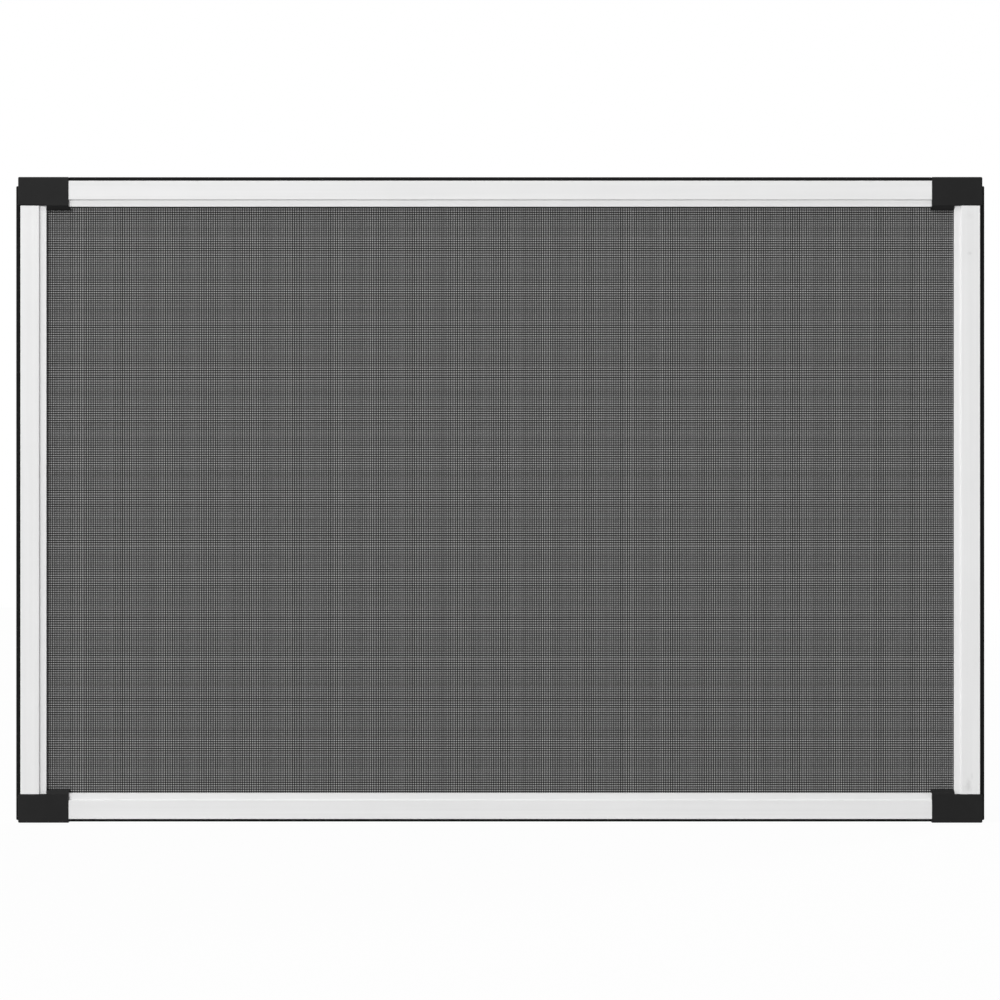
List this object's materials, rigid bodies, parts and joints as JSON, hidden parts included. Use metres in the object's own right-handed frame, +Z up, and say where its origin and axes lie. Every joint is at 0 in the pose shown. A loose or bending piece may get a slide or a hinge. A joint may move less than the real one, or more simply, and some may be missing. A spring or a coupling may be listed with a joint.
{
  "type": "window screen frame",
  "caption": "Rectangular insect screen panel: painted aluminium frame with black corner pieces, rubber edge seals and a dark woven mesh held by spline cords.",
  "frame": {"origin": "middle of the panel's bottom edge, at the end faces of the lower corner pieces and at mid depth", "axes": "+X to the right as the front is seen, +Y from the front to the back, +Z up along the stiles"},
  "size_m": [0.75, 0.0108, 0.5],
  "materials": {
    "frame_paint": "extruded and painted, satin white",
    "corner_plastic": "moulded black, fine texture",
    "seal_rubber": "extruded black rubber, matt",
    "spline_rubber": "extruded black cord, ribbed, matt",
    "mesh_yarn": "coated glass fibre yarn, plain weave, charcoal"
  },
  "bodies": {
    "root": {"bottom_rail": "frame_paint", "top_rail": "frame_paint", "left_stile": "frame_paint", "right_stile": "frame_paint", "corner_bottom_left": "corner_plastic", "corner_bottom_right": "corner_plastic", "corner_top_left": "corner_plastic", "corner_top_right": "corner_plastic", "seal_bottom": "seal_rubber", "seal_top": "seal_rubber", "seal_left": "seal_rubber", "seal_right": "seal_rubber", "spline_bottom": "spline_rubber", "spline_top": "spline_rubber", "spline_left": "spline_rubber", "spline_right": "spline_rubber", "mesh": "mesh_yarn"}
  },
  "joints": []
}
